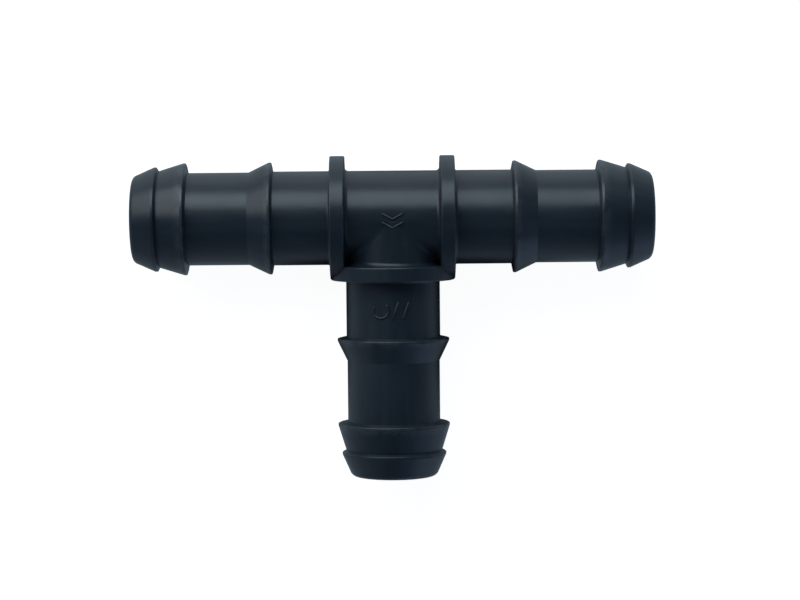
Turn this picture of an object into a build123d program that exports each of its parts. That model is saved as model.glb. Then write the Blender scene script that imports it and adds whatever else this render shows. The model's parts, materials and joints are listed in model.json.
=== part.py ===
from build123d import *
import os

os.makedirs("parts", exist_ok=True)

# A barbed insert tee for soft polyethylene irrigation pipe. The real fitting is one moulding.
# It is divided here into named sections that meet on plain cross-sections of its tubes, so that the
# sections together are exactly the moulding.
#
# Frame: the axes of the three tubes cross at the origin. The run lies along X, the branch points
# to -Y, and +Z is up when the fitting lies on the rims of its three collars.
# The three arms are equal. "Out" is the distance from the origin along an arm, towards its open end.

# Driving dimensions, in millimetres
PIPE_BORE = 13.6  # inside diameter of the 16 mm pipe that is pushed over a spigot
BARB_D = 16.0  # the two large barbs stretch the pipe to this diameter
BORE_D = 10.4  # water passage, the same in the run and the branch
ARM_LENGTH = 37.3
COLLAR_D = 17.7
COLLAR_FACE = 8.95  # out to the face that stops the pipe
COLLAR_THICKNESS = 2.1
MIDDLE_CREST = 17.35  # out to the crest of each barb
INNER_CREST = 29.6
TIP_CREST = 33.8

# Tube and tip diameters, which follow from the pipe
ROOT_D = PIPE_BORE - 0.2  # between the collar and the middle barb
WAIST_D = PIPE_BORE - 0.4  # between the middle barb and the inner barb
GROOVE_D = PIPE_BORE + 0.2  # at the foot of the tip barb
TIP_BARB_D = PIPE_BORE + 1.3
NOSE_D = PIPE_BORE - 1.5  # where the tip barb's cone would meet the end of the arm

# Shape of a barb: a raked back face, a short land on the crest, then a cone towards the open end
BACK_RAKE = 0.3
CREST_LAND = 0.35
MIDDLE_CONE = 2.9

# Radii of rounded corners and broken edges
SADDLE_ROUND = 1.2
HUB_FOOT_ROUND = 0.6  # where a collar meets the hub
PIPE_FOOT_ROUND = 0.35  # where a collar meets its spigot, small enough for the pipe to seat against the face
COLLAR_RIM_ROUND = 0.2
CREST_ROUND = 0.15
NOSE_ROUND = 0.9
MOUTH_BREAK = 0.15

# Radii and section ends worked out from the above
BORE_R = BORE_D / 2
ROOT_R = ROOT_D / 2
WAIST_R = WAIST_D / 2
GROOVE_R = GROOVE_D / 2
BARB_R = BARB_D / 2
TIP_BARB_R = TIP_BARB_D / 2
NOSE_R = NOSE_D / 2
COLLAR_R = COLLAR_D / 2
NECK_R = ROOT_R - 0.01  # a hair inside the run, so that the saddle is one clean curve
COLLAR_BACK = COLLAR_FACE - COLLAR_THICKNESS
SECTION_MARGIN = 0.1  # from a foot's rounding to the cross-section where the next piece begins
HUB_END = COLLAR_BACK - HUB_FOOT_ROUND - SECTION_MARGIN
SPIGOT_START = COLLAR_FACE + PIPE_FOOT_ROUND + SECTION_MARGIN
NOSE_START = INNER_CREST - BACK_RAKE

ARMS = {
    "left": Vector(-1, 0, 0),
    "right": Vector(1, 0, 0),
    "branch": Vector(0, -1, 0),
}


def along(direction):
    """The level plane through an arm's axis: its x runs out along the arm, and its y is the radius."""
    return Plane(origin=(0, 0, 0), x_dir=direction, z_dir=(0, 0, 1))


def across(direction, out=0):
    """The plane across an arm at a distance out, facing the open end."""
    return Plane(origin=direction * out, z_dir=direction)


def centre_line(direction):
    """An arm's own axis."""
    return Axis((0, 0, 0), direction)


def round_corner(out, radius, size):
    """Round the corner of the profile being drawn that lies nearest to (out, radius)."""
    fillet(vertices().sort_by_distance((out, radius))[0], size)


# Hub: the crossing of the three tubes, with a softened saddle where the branch leaves the run.
# It is cut square just short of each collar's foot.
with BuildPart() as hub:
    with BuildSketch(across(ARMS["right"], -COLLAR_BACK)):
        Circle(ROOT_R)
    extrude(amount=2 * COLLAR_BACK)
    with BuildSketch(across(ARMS["branch"])):
        Circle(NECK_R)
    extrude(amount=COLLAR_FACE)
    saddle = [edge for edge in edges() if edge.geom_type not in (GeomType.CIRCLE, GeomType.LINE)]
    fillet(saddle, SADDLE_ROUND)
    for direction in ARMS.values():
        with BuildSketch(across(direction)):
            Circle(BORE_R)
        extrude(amount=COLLAR_FACE, mode=Mode.SUBTRACT)
    for direction in ARMS.values():
        split(bisect_by=across(direction, HUB_END), keep=Keep.BOTTOM)

hub.part.label = "hub"
export_step(hub.part, "parts/hub.step")


# Stop collars: a disc round each tube, with a rounded foot on both sides and a broken rim.
# The branch collar's corners run into the two run collars, and are cut away where those stand.
run_collars = []
for name, direction in ARMS.items():
    with BuildPart() as collar:
        with BuildSketch(along(direction)):
            with BuildLine():
                Polyline(
                    (HUB_END, BORE_R),
                    (HUB_END, ROOT_R),
                    (COLLAR_BACK, ROOT_R),
                    (COLLAR_BACK, COLLAR_R),
                    (COLLAR_FACE, COLLAR_R),
                    (COLLAR_FACE, ROOT_R),
                    (SPIGOT_START, ROOT_R),
                    (SPIGOT_START, BORE_R),
                    close=True,
                )
            make_face()
            for out, foot_round in ((COLLAR_BACK, HUB_FOOT_ROUND), (COLLAR_FACE, PIPE_FOOT_ROUND)):
                round_corner(out, ROOT_R, foot_round)
                round_corner(out, COLLAR_R, COLLAR_RIM_ROUND)
        revolve(axis=centre_line(direction))
        if name == "branch":
            for run_collar in run_collars:
                add(run_collar, mode=Mode.SUBTRACT)
        else:
            run_collars.append(collar.part)

    collar.part.label = f"{name}_collar"
    export_step(collar.part, f"parts/{name}_collar.step")


# Spigots: the tube outside the collar, the middle barb, and the waist as far as the inner barb's back
for name, direction in ARMS.items():
    with BuildPart() as spigot:
        with BuildSketch(along(direction)):
            with BuildLine():
                Polyline(
                    (SPIGOT_START, BORE_R),
                    (SPIGOT_START, ROOT_R),
                    (MIDDLE_CREST - BACK_RAKE, ROOT_R),
                    (MIDDLE_CREST, BARB_R),
                    (MIDDLE_CREST + CREST_LAND, BARB_R),
                    (MIDDLE_CREST + CREST_LAND + MIDDLE_CONE, WAIST_R),
                    (NOSE_START, WAIST_R),
                    (NOSE_START, BORE_R),
                    close=True,
                )
            make_face()
            round_corner(MIDDLE_CREST, BARB_R, CREST_ROUND)
        revolve(axis=centre_line(direction))

    spigot.part.label = f"{name}_spigot"
    export_step(spigot.part, f"parts/{name}_spigot.step")


# Noses: the close pair of barbs at the open end, whose cones lead the pipe on, and the rounded mouth
for name, direction in ARMS.items():
    with BuildPart() as nose:
        with BuildSketch(along(direction)):
            with BuildLine():
                Polyline(
                    (NOSE_START, BORE_R),
                    (NOSE_START, WAIST_R),
                    (INNER_CREST, BARB_R),
                    (INNER_CREST + CREST_LAND, BARB_R),
                    (TIP_CREST - BACK_RAKE, GROOVE_R),
                    (TIP_CREST, TIP_BARB_R),
                    (TIP_CREST + CREST_LAND, TIP_BARB_R),
                    (ARM_LENGTH, NOSE_R),
                    (ARM_LENGTH, BORE_R),
                    close=True,
                )
            make_face()
            round_corner(INNER_CREST, BARB_R, CREST_ROUND)
            round_corner(TIP_CREST, TIP_BARB_R, CREST_ROUND)
            round_corner(ARM_LENGTH, NOSE_R, NOSE_ROUND)
            round_corner(ARM_LENGTH, BORE_R, MOUTH_BREAK)
        revolve(axis=centre_line(direction))

    nose.part.label = f"{name}_nose"
    export_step(nose.part, f"parts/{name}_nose.step")
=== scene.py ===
import json
import math
from itertools import groupby

import bmesh
import bpy
from mathutils import Matrix, Vector


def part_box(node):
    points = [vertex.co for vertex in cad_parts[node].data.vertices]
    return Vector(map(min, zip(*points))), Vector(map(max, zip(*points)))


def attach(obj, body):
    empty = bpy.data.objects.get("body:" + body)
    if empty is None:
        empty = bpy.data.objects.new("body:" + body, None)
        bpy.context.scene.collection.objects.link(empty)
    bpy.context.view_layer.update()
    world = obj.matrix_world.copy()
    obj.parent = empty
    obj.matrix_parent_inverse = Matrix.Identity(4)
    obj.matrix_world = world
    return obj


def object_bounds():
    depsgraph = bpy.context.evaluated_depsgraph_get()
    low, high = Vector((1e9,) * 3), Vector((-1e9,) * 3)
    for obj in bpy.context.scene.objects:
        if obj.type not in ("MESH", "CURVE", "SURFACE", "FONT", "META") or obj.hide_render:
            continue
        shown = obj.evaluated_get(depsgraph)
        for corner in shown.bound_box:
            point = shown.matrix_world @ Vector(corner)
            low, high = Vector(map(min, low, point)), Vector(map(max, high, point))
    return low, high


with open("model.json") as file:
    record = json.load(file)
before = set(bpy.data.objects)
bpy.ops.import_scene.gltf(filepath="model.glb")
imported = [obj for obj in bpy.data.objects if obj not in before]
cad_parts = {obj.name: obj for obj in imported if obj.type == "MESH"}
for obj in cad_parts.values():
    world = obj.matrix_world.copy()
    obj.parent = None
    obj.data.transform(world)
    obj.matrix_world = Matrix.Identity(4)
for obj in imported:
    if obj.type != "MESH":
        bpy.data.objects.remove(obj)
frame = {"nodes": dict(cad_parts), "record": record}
cad_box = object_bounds()

# Every size is in metres. The first ones are read from the frame, and the others are worked out from
# them or given here. "Out" is the distance from the crossing of the axes along an arm, towards its open
# end. The three arms are equal: the run's two lie along X, and the branch points to -Y.
MM = 0.001
ARM = cad_box[1].x  # out to an open end
FLOOR_Z = cad_box[0].z  # the collars' rims rest on the floor
ROOT_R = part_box("hub")[1].z  # radius of the tubes near the hub
COLLAR_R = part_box("right_collar")[1].z
BARB_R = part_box("right_nose")[1].z
BORE_R = next(m["dims"]["r_mm"] for m in frame["record"]["mounts"] if m["kind"] == "bore") * MM
OUT_OF_RIM = [  # how far out the points round a collar's disc are
    vertex.co.x
    for vertex in frame["nodes"]["right_collar"].data.vertices
    if math.hypot(vertex.co.y, vertex.co.z) > (ROOT_R + COLLAR_R) / 2
]
RIM_START, RIM_END = min(OUT_OF_RIM), max(OUT_OF_RIM)

PLASTIC_DARK = (0.0120, 0.0183, 0.0275)
PLASTIC_LIGHT = (0.0176, 0.0256, 0.0370)
# Lighter colour for wear and scratches, also used as painted highlight on the barbs' crests and the
# collars' corners
PLASTIC_WORN_AND_GLINT = (0.056, 0.065, 0.074)

LEFT, RIGHT = Vector((-1, 0, 0)), Vector((1, 0, 0))
BACK, FRONT = Vector((0, 1, 0)), Vector((0, -1, 0))
UP = Vector((0, 0, 1))


# ---------------------------------------------------------------- materials

def node_maker(tree):
    """A short way to add a node: its inputs are numbers, colours or the sockets that feed them."""

    def make(kind, inputs=None, **settings):
        node = tree.nodes.new(kind)
        for key, value in settings.items():
            setattr(node, key, value)
        for key, value in (inputs or {}).items():
            if isinstance(value, bpy.types.NodeSocket):
                tree.links.new(value, node.inputs[key])
            else:
                node.inputs[key].default_value = value
        return node

    return make


def new_material(name):
    """An empty node material, and the function that adds nodes to it."""
    material = bpy.data.materials.new(name)
    material.use_nodes = True
    material.node_tree.nodes.clear()
    return material, node_maker(material.node_tree)


def maths(make, operation, *values):
    """A sum done at every point, on numbers or sockets."""
    return make("ShaderNodeMath", dict(enumerate(values)), operation=operation).outputs[0]


def sum_of(make, *terms):
    """The sum of several (socket, factor) terms."""
    (first, factor), *others = terms
    total = maths(make, "MULTIPLY", first, factor)
    for socket, factor in others:
        total = maths(make, "MULTIPLY_ADD", socket, factor, total)
    return total


def arm_coordinates(make, place):
    """For each point: how far out on its arm it is, how far from the axis, and where in the section."""
    apart = make("ShaderNodeSeparateXYZ", {0: place})
    along_run = maths(make, "ABSOLUTE", apart.outputs["X"])
    along_branch = maths(make, "MULTIPLY", apart.outputs["Y"], -1)
    on_branch = maths(make, "GREATER_THAN", along_branch, along_run)
    out = maths(make, "MAXIMUM", along_branch, along_run)
    across = make("ShaderNodeMix", {0: on_branch, 2: apart.outputs["Y"], 3: apart.outputs["X"]}).outputs[0]
    section = make("ShaderNodeCombineXYZ", {0: across, 2: apart.outputs["Z"]}).outputs[0]
    radius = make("ShaderNodeVectorMath", {0: section}, operation="LENGTH").outputs["Value"]
    return out, radius, section


def step(make, value, start, end):
    """0 on the start's side, 1 on the end's side, and a smooth change between. The end may be lower."""
    low, high = sorted((start, end))
    levels = {3: 0.0, 4: 1.0} if start < end else {3: 1.0, 4: 0.0}
    inputs = {0: value, 1: low, 2: high, **levels}
    return make("ShaderNodeMapRange", inputs, interpolation_type="SMOOTHSTEP").outputs[0]


def ramp(make, value, start, end, at_start, at_end):
    """A straight change from one level to another while the value goes from start to end."""
    return make("ShaderNodeMapRange", {0: value, 1: start, 2: end, 3: at_start, 4: at_end}).outputs[0]


def noise(make, where, grain, detail=2.0, roughness=0.5):
    """Cloudy noise around 0.5, whose lumps are about as large as the grain."""
    inputs = {"Vector": where, "Scale": 1 / grain, "Detail": detail, "Roughness": roughness}
    return make("ShaderNodeTexNoise", inputs).outputs["Fac"]


def rubbed_and_glinting_edges(make, place, out, radius):
    """1 where pipe and fingers rub, and where the edges are lightened as painted highlight: on the barbs'
    crests and the collars' corners, in patches.
    """
    crest_band, corner_band, fully_rubbed = 0.4 * MM, 0.25 * MM, 0.05 * MM
    near_crest = step(make, radius, BARB_R - crest_band, BARB_R - fully_rubbed)
    past_collar = step(make, out, RIM_END, RIM_END + MM)
    crest = maths(make, "MULTIPLY", near_crest, past_collar)
    from_middle = maths(make, "SUBTRACT", out, (RIM_START + RIM_END) / 2)
    from_middle = maths(make, "ABSOLUTE", from_middle)
    half_thickness = (RIM_END - RIM_START) / 2
    near_face = step(make, from_middle, half_thickness - corner_band, half_thickness)
    near_rim = step(make, radius, COLLAR_R - corner_band, COLLAR_R - fully_rubbed)
    corner = maths(make, "MULTIPLY", near_rim, near_face)
    edges = maths(make, "MAXIMUM", crest, corner)
    patches = step(make, noise(make, place, 1.4 * MM, 4), 0.3, 0.62)
    return maths(make, "MULTIPLY", edges, patches)


def flow_streaks(make, out, section):
    """Streaks along the arms, as the plastic flowed: noise that is drawn out along them."""
    slowness = 0.12
    slow_out = maths(make, "MULTIPLY", out, slowness)
    slow_out = make("ShaderNodeCombineXYZ", {1: slow_out}).outputs[0]
    place = make("ShaderNodeVectorMath", {0: section}, operation="NORMALIZE").outputs["Vector"]
    place = make("ShaderNodeVectorMath", {0: place, "Scale": ROOT_R}, operation="SCALE").outputs["Vector"]
    place = make("ShaderNodeVectorMath", {0: place, 1: slow_out}, operation="ADD").outputs["Vector"]
    return noise(make, place, 1.6 * MM, 3)


def scratch_marks(make, place):
    """A few short slanted scratches: the peaks of noise that is squeezed to be long and thin."""
    length, squeeze, slant = 4.5 * MM, (1, 14, 14), (0.4, 0.3, 0.9)
    place = make("ShaderNodeMapping", {"Vector": place, "Rotation": slant, "Scale": squeeze}).outputs[0]
    return step(make, noise(make, place, length, 2), 0.685, 0.73)


def turning_rings(make, out):
    """Rings round the arms, as a lathe left them in the mould."""
    place = make("ShaderNodeCombineXYZ", {0: out}).outputs[0]
    inputs = {"Vector": place, "Scale": 0.05 / MM, "Distortion": 1.5}
    return make("ShaderNodeTexWave", inputs).outputs["Fac"]


def blend(make, amount, one, two):
    """A mix of two colours, either of which may be a socket."""
    colours = [value if isinstance(value, bpy.types.NodeSocket) else (*value, 1) for value in (one, two)]
    return make("ShaderNodeMix", {0: amount, 6: colours[0], 7: colours[1]}, data_type="RGBA").outputs[2]


def black_plastic():
    """Blue-black polyethylene, as it comes out of the mould, and then a little rubbed and scratched. Its
    crests and collar corners are lighter, partly as wear and partly as painted highlight.
    """
    material, make = new_material("black_plastic")
    place = make("ShaderNodeTexCoord").outputs["Object"]
    out, radius, section = arm_coordinates(make, place)
    streaks = flow_streaks(make, out, section)
    clouds = noise(make, place, 5 * MM, 3)
    peel = noise(make, place, 1.1 * MM, 1)
    grain = noise(make, place, 0.16 * MM, 2)
    rings = turning_rings(make, out)
    scratches = scratch_marks(make, place)
    wear_and_glint = rubbed_and_glinting_edges(make, place, out, radius)
    inside = step(make, radius, BORE_R + 0.25 * MM, BORE_R + 0.1 * MM)

    colour = blend(make, step(make, streaks, 0.3, 0.7), PLASTIC_DARK, PLASTIC_LIGHT)
    # Painted highlight: crests and collar corners are lightened partly as wear and partly to paint their
    # highlight lines; the scratches are wear
    colour = blend(make, sum_of(make, (wear_and_glint, 0.5), (scratches, 0.25)), colour, PLASTIC_WORN_AND_GLINT)

    roughness = ramp(make, clouds, 0.2, 0.8, 0.25, 0.35)
    changes = ((streaks, 0.05), (wear_and_glint, -0.07), (scratches, 0.12), (inside, 0.12))
    roughness = sum_of(make, (roughness, 1.0), *changes)

    waves = ((peel, 0.008), (clouds, 0.035), (grain, 0.001), (rings, 0.0004))
    height_mm = sum_of(make, *waves, (scratches, -0.0008))
    bump = make("ShaderNodeBump", {"Height": height_mm, "Distance": MM, "Strength": 1.0}).outputs[0]

    inputs = {"Base Color": colour, "Roughness": roughness, "IOR": 1.5, "Normal": bump}
    surface = make("ShaderNodeBsdfPrincipled", inputs)
    make("ShaderNodeOutputMaterial", {"Surface": surface.outputs[0]})
    return material


def floor_paper():
    """White paper, lit from below as well, so that it stays white round the fitting."""
    material, make = new_material("floor_paper")
    inputs = {
        "Base Color": (0.3, 0.3, 0.3, 1),
        "Roughness": 0.9,
        "Emission Color": (1, 1, 1, 1),
        "Emission Strength": 0.95,
    }
    surface = make("ShaderNodeBsdfPrincipled", inputs)
    make("ShaderNodeOutputMaterial", {"Surface": surface.outputs[0]})
    return material


# ---------------------------------------------------------------- building meshes

def add_piece(name, mesh, smooth=True):
    """Turn a finished bmesh into a piece of the fitting."""
    bmesh.ops.recalc_face_normals(mesh, faces=mesh.faces)
    for face in mesh.faces:
        face.smooth = smooth
    data = bpy.data.meshes.new(name)
    mesh.to_mesh(data)
    mesh.free()
    data.materials.append(plastic)
    piece = bpy.data.objects.new(name, data)
    bpy.context.scene.collection.objects.link(piece)
    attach(piece, "root")
    return piece


def skin(mesh, rows, closed=False):
    """Cover rows of points, each one a closed cross-section. The ends are capped, or joined if closed."""
    rings = [[mesh.verts.new(point) for point in row] for row in rows]
    pairs = list(zip(rings, rings[1:]))
    if closed:
        pairs.append((rings[-1], rings[0]))
    else:
        mesh.faces.new(rings[0])
        mesh.faces.new(rings[-1])
    for one, two in pairs:
        for i in range(len(one)):
            mesh.faces.new((one[i - 1], one[i], two[i], two[i - 1]))


def directions(path, closed=False):
    """The direction of travel at each point of a path."""
    if closed:
        steps = [(path[i - 1], path[(i + 1) % len(path)]) for i in range(len(path))]
    else:
        steps = zip(path[:1] + path[:-1], path[1:] + path[-1:])
    return [(after - before).normalized() for before, after in steps]


# ---------------------------------------------------------------- the parting line

RIDGE_WIDTH = 0.16 * MM
RIDGE_HEIGHT = 0.05 * MM
RIDGE_DEPTH = 0.08 * MM  # how far its foot is sunk into the fitting
MOUTH_MARGIN = 0.3 * MM  # the ridge stops this far short of the bore
CORNER_GAP = 0.01 * MM  # corners of the profile that are nearer than this are one corner


def arm_profile():
    """(out, radius) at the corners of an arm's outside, from hub to mouth, as the right arm has them."""
    corners = set()
    for name in ("right_collar", "right_spigot", "right_nose"):
        for vertex in frame["nodes"][name].data.vertices:
            out, radius = vertex.co.x, math.hypot(vertex.co.y, vertex.co.z)
            if radius > BORE_R + MOUTH_MARGIN:
                corners.add((round(out, 6), round(radius, 6)))
    profile = []
    for _, face in groupby(sorted(corners), key=lambda corner: corner[0]):
        face = list(face)  # the corners that are equally far out, from the inside outwards
        if profile and profile[-1][1] > face[0][1]:
            face.reverse()
        for corner in face:
            if not profile or math.dist(corner, profile[-1]) > CORNER_GAP:
                profile.append(corner)
    return profile


def arm_edge(profile, arm, side, start=0.0):
    """The outline of one side of an arm in the parting plane, from a distance out to its mouth."""
    return [arm * out + side * radius for out, radius in profile if out > start]


def ridge(name, path):
    """A fine raised line along a path in the parting plane. The outside is on the left of the path."""
    section = (
        (-RIDGE_DEPTH, -RIDGE_WIDTH / 2),
        (RIDGE_HEIGHT * 0.6, -RIDGE_WIDTH / 4),
        (RIDGE_HEIGHT, 0),
        (RIDGE_HEIGHT * 0.6, RIDGE_WIDTH / 4),
        (-RIDGE_DEPTH, RIDGE_WIDTH / 2),
    )
    rows = []
    for point, ahead in zip(path, directions(path)):
        outward = UP.cross(ahead)
        rows.append([point + outward * lift + UP * height for lift, height in section])
    mesh = bmesh.new()
    skin(mesh, rows)
    add_piece(name, mesh, smooth=False)


def parting_line():
    """The seam where the mould's halves met: one line behind the run, and one in each corner in front."""
    profile = arm_profile()
    rim = max(profile, key=lambda corner: corner[1])[0]  # the collars' rims meet at the corners
    ridge(
        "parting_line_back",
        arm_edge(profile, LEFT, BACK)[::-1] + arm_edge(profile, RIGHT, BACK),
    )
    ridge(
        "parting_line_right",
        arm_edge(profile, RIGHT, FRONT, rim)[::-1] + arm_edge(profile, FRONT, RIGHT, rim),
    )
    ridge(
        "parting_line_left",
        arm_edge(profile, FRONT, LEFT, rim)[::-1] + arm_edge(profile, LEFT, FRONT, rim),
    )


# ---------------------------------------------------------------- raised marks

MARK_WIDTH = 0.42 * MM
MARK_HEIGHT = 0.2 * MM
MARK_DEPTH = 0.08 * MM


def on_run(along, around, lift):
    """A point above the run's tube: along it, and round it from its top towards the back."""
    angle = around / ROOT_R
    radius = ROOT_R + lift
    return Vector((along, radius * math.sin(angle), radius * math.cos(angle)))


def on_branch(across, out, lift):
    """A point above the branch's tube: round it from its top towards the right, and out along it."""
    angle = across / ROOT_R
    radius = ROOT_R + lift
    return Vector((radius * math.sin(angle), -out, radius * math.cos(angle)))


def raised_line(mesh, place, path, width=MARK_WIDTH, height=MARK_HEIGHT, closed=False):
    """A rounded bead along a flat path, wrapped onto a tube. Its ends are round, unless it closes up."""
    shoulder = 0.7 * height
    section = ((-0.5, -MARK_DEPTH), (-0.3, shoulder), (0, height), (0.3, shoulder), (0.5, -MARK_DEPTH))
    path = [Vector(point) for point in path]
    stations = [(point, ahead, 1.0) for point, ahead in zip(path, directions(path, closed))]
    if not closed:
        (first, first_way, _), (last, last_way, _) = stations[0], stations[-1]
        for angle in map(math.radians, (35, 65, 85)):
            reach = width / 2 * math.sin(angle)
            stations.insert(0, (first - first_way * reach, first_way, math.cos(angle)))
            stations.append((last + last_way * reach, last_way, math.cos(angle)))
    rows = []
    for point, ahead, scale in stations:
        aside = Vector((-ahead.y, ahead.x)) * width * scale
        row = []
        for offset, lift in section:
            spot = point + aside * offset
            row.append(place(spot.x, spot.y, lift * scale if lift > 0 else lift))
        rows.append(row)
    skin(mesh, rows, closed)


def arc(centre, radius, start, end, steps=24):
    """Points of an arc in the flat, with its angles in degrees."""
    angles = [math.radians(start + (end - start) * i / steps) for i in range(steps + 1)]
    return [(centre[0] + radius * math.cos(a), centre[1] + radius * math.sin(a)) for a in angles]


def hub_mark():
    """Two chevrons on top of the hub, which point to the branch."""
    half_width, rise = 1.35 * MM, 0.75 * MM
    mesh = bmesh.new()
    for tip in (-1.35 * MM, -0.1 * MM):
        raised_line(mesh, on_run, [(-half_width, tip + rise), (0, tip), (half_width, tip + rise)])
    add_piece("hub_mark", mesh)


def branch_mark():
    """A plain mould mark on top of the branch: an open ring and two slanted bars."""
    out, half_height, slant = 13 * MM, 1.1 * MM, 0.4 * MM
    start, end = out - half_height, out + half_height
    mesh = bmesh.new()
    raised_line(mesh, on_branch, arc((-1.75 * MM, out), half_height, -40, 200))
    for across in (0.35 * MM, 1.8 * MM):
        raised_line(mesh, on_branch, [(across + slant, start), (across - slant, end)])
    add_piece("branch_mark", mesh)


def half_way_round(place):
    """The same place, but measured from the tube's lowest line instead of its highest."""

    def place_below(first, second, lift):
        point = place(first, second, lift)
        return Vector((point.x, point.y, -point.z))

    return place_below


def ejector_marks():
    """A shallow ring under each arm, where a pin pushed the fitting out of the mould."""
    out, pin_radius, width, height = 13.2 * MM, 1.2 * MM, 0.2 * MM, 0.06 * MM
    for name, place, centre in (
        ("left", on_run, (-out, 0)),
        ("right", on_run, (out, 0)),
        ("branch", on_branch, (0, out)),
    ):
        mesh = bmesh.new()
        ring = arc(centre, pin_radius, 0, 360)[:-1]
        raised_line(mesh, half_way_round(place), ring, width, height, closed=True)
        add_piece(f"{name}_ejector_mark", mesh)


def gate_stub():
    """The stub under the hub, where the plastic came in and was snapped off. Its end is a little hollow."""
    profile_mm = ((0.75, -0.1), (0.7, 0.12), (0.62, 0.2), (0.5, 0.32), (0.3, 0.38), (0.24, 0.3))
    sides = 32
    angles = [math.tau * i / sides for i in range(sides)]
    rows = []
    for radius_mm, lift_mm in profile_mm:
        radius, height = radius_mm * MM, -ROOT_R - lift_mm * MM
        rows.append([Vector((radius * math.cos(a), radius * math.sin(a), height)) for a in angles])
    mesh = bmesh.new()
    skin(mesh, rows)
    add_piece("gate_stub", mesh)


# ---------------------------------------------------------------- floor, lights, camera

BACKDROP_R = 1.5
SHADE_R = 28 * MM
SHADE_PLACE = (2 * MM, -11 * MM, FLOOR_Z)
LENS_MM = 107.9
CAMERA_ROLL = math.radians(-0.52)


def add_staging(name, mesh, material):
    """Turn a finished bmesh into something of the studio, which isn't part of the fitting."""
    data = bpy.data.meshes.new(name)
    mesh.to_mesh(data)
    mesh.free()
    data.materials.append(material)
    thing = bpy.data.objects.new(name, data)
    bpy.context.scene.collection.objects.link(thing)
    return thing


def lay_floor():
    """A round sheet of paper. The plastic doesn't mirror it: the room's lower half stands in for it."""
    mesh = bmesh.new()
    bmesh.ops.create_circle(mesh, cap_ends=True, segments=96, radius=BACKDROP_R)
    floor = add_staging("floor", mesh, floor_paper())
    floor.location.z = FLOOR_Z
    floor.visible_glossy = False


def hang_backdrop():
    """White paper all round, so that no view looks past the floor. It doesn't light or shade anything."""
    mesh = bmesh.new()
    bmesh.ops.create_uvsphere(mesh, u_segments=48, v_segments=24, radius=BACKDROP_R)
    backdrop = add_staging("backdrop", mesh, floor_paper())
    backdrop.location.z = FLOOR_Z
    backdrop.visible_diffuse = backdrop.visible_glossy = backdrop.visible_shadow = False


def lay_shade():
    """The fitting's own shade on the table, seen only in reflections. It darkens the sides near the hub."""
    material, make = new_material("shade")
    place = make("ShaderNodeTexCoord").outputs["Object"]
    away = make("ShaderNodeVectorMath", {0: place}, operation="LENGTH").outputs["Value"]
    clear = make("ShaderNodeBsdfTransparent").outputs[0]
    dark = make("ShaderNodeBsdfDiffuse", {"Color": (0, 0, 0, 1)}).outputs[0]
    fade = step(make, away, SHADE_R, 0.45 * SHADE_R)
    mixed = make("ShaderNodeMixShader", {0: fade, 1: clear, 2: dark})
    make("ShaderNodeOutputMaterial", {"Surface": mixed.outputs[0]})
    mesh = bmesh.new()
    bmesh.ops.create_circle(mesh, cap_ends=True, segments=64, radius=SHADE_R)
    shade = add_staging("shade", mesh, material)
    shade.location = SHADE_PLACE
    shade.visible_camera = shade.visible_diffuse = shade.visible_shadow = False


def toward(azimuth, from_zenith):
    """A unit direction, in degrees: the azimuth turns from the back towards the right."""
    azimuth, from_zenith = math.radians(azimuth), math.radians(from_zenith)
    level = math.sin(from_zenith)
    return Vector((level * math.sin(azimuth), level * math.cos(azimuth), math.cos(from_zenith)))


def softbox(name, direction, half_angle, radiance, colour, distance=0.5):
    """A round soft light that faces the fitting and looks half_angle degrees wide from it."""
    radius = distance * math.tan(math.radians(half_angle))
    data = bpy.data.lights.new(name, "AREA")
    data.shape = "DISK"
    data.size = 2 * radius
    area = math.pi * radius**2
    data.energy = radiance * math.pi * area
    data.color = colour
    light = bpy.data.objects.new(name, data)
    light.location = direction * distance
    light.rotation_euler = direction.to_track_quat("Z", "Y").to_euler()
    bpy.context.scene.collection.objects.link(light)


def glow(make, way, direction, sharpness):
    """A soft patch of light in the room, strongest in one direction."""
    inputs = {0: way, 1: direction}
    facing = make("ShaderNodeVectorMath", inputs, operation="DOT_PRODUCT").outputs["Value"]
    falloff = maths(make, "MULTIPLY_ADD", facing, sharpness, -sharpness)
    return maths(make, "EXPONENT", falloff)


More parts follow.
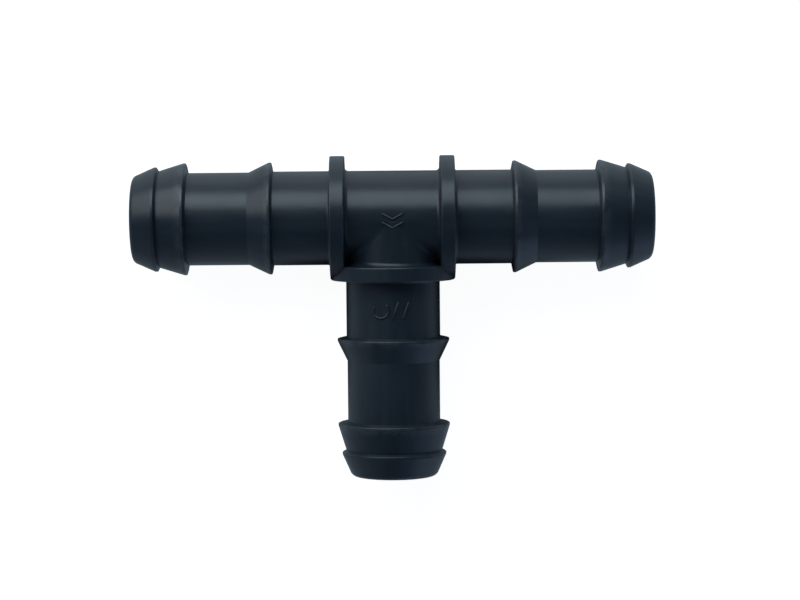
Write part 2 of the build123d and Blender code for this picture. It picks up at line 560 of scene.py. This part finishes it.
def studio_walls():
    """The dim room round the table, with a pale glow low down behind the fitting and one in front."""
    world = bpy.data.worlds.new("studio_walls")
    world.use_nodes = True
    world.node_tree.nodes.clear()
    make = node_maker(world.node_tree)
    way = make("ShaderNodeTexCoord").outputs["Generated"]
    height = make("ShaderNodeSeparateXYZ", {0: way}).outputs["Z"]
    walls = ((0.094, 0.15, 0.208), ramp(make, height, 0.2, 1.0, 1.0, 0.37))
    glow_behind = ((0.445, 0.485, 0.445), glow(make, way, toward(-6, 105), 3.85))
    glow_in_front = ((0.19, 0.29, 0.46), glow(make, way, toward(142, 90), 9.5))
    table = ((0.10, 0.10, 0.10), step(make, height, 0.25, -0.25))
    total = None
    for colour, strength in (walls, glow_behind, glow_in_front, table):
        part = make("ShaderNodeBackground", {"Color": (*colour, 1), "Strength": strength}).outputs[0]
        total = make("ShaderNodeAddShader", {0: total, 1: part}).outputs[0] if total else part
    make("ShaderNodeOutputWorld", {"Surface": total})
    bpy.context.scene.world = world


def light_studio():
    """Two softboxes high up behind the fitting, and the room."""
    softbox("key", toward(-44, 55.4), 27.4, 1.68, (0.92, 1.0, 0.995))
    softbox("key_right", toward(1.3, 49.8), 20.9, 2.22, (0.746, 0.91, 1.0))
    studio_walls()


def place_camera():
    """Above the lying fitting, a little behind the run, with the branch towards the viewer."""
    stand = Vector((0, 0.24 * ARM, 9.25 * ARM))
    aim = Vector((0.0266 * ARM, -0.319 * ARM, 0))
    data = bpy.data.cameras.new("camera")
    data.lens = LENS_MM
    camera = bpy.data.objects.new("camera", data)
    bpy.context.scene.collection.objects.link(camera)
    backward = (stand - aim).normalized()
    right = BACK.cross(backward).normalized()
    turn = Matrix((right, backward.cross(right), backward)).transposed().to_4x4()
    roll = Matrix.Rotation(CAMERA_ROLL, 4, "Z")
    camera.matrix_world = Matrix.Translation(stand) @ turn @ roll
    bpy.context.scene.camera = camera


# ---------------------------------------------------------------- the scene

plastic = black_plastic()
for node in frame["nodes"].values():
    node.data.materials[0] = plastic
parting_line()
hub_mark()
branch_mark()
ejector_marks()
gate_stub()

lay_floor()
hang_backdrop()
lay_shade()
light_studio()
place_camera()
bpy.context.scene.view_settings.view_transform = "Standard"
